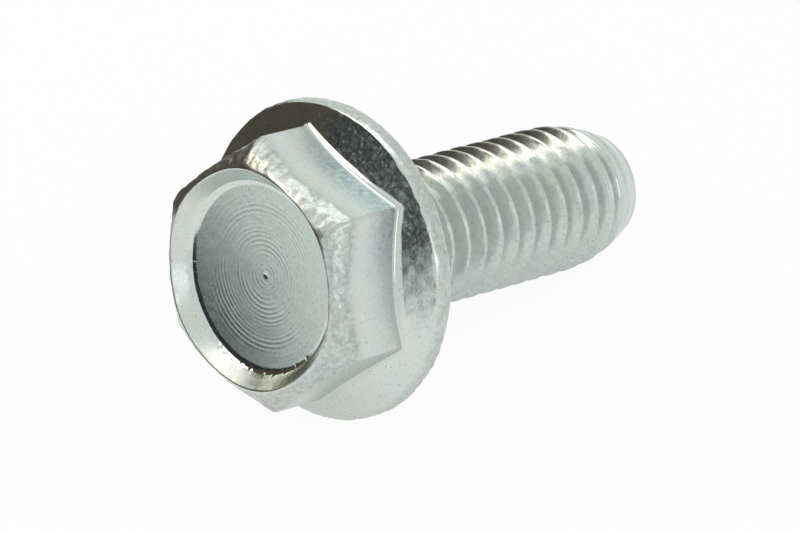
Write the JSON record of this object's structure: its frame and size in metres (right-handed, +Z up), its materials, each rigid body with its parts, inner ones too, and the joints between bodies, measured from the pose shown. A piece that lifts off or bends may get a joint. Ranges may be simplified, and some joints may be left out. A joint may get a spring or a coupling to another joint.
{
  "type": "hexagon flange bolt",
  "caption": "Short steel bolt with a dished hexagon head, a conical flange and a coarse right-hand thread with a rounded end.",
  "frame": {"origin": "middle of the bounding box's bottom, on the surface that the bolt lies on", "axes": "+X from the head towards the thread's end as seen from above, +Z up; the bolt lies on its flange's rim and its thread's end, so its own axis dips by 14.8 degrees towards +X"},
  "size_m": [0.0284, 0.0172, 0.0168],
  "materials": {
    "zinc_plated_steel": "bright zinc plating with a pale blue-green passivate, satin on the flats and glossy in the grooves"
  },
  "bodies": {
    "root": {"flange_bolt": "zinc_plated_steel"}
  },
  "joints": []
}
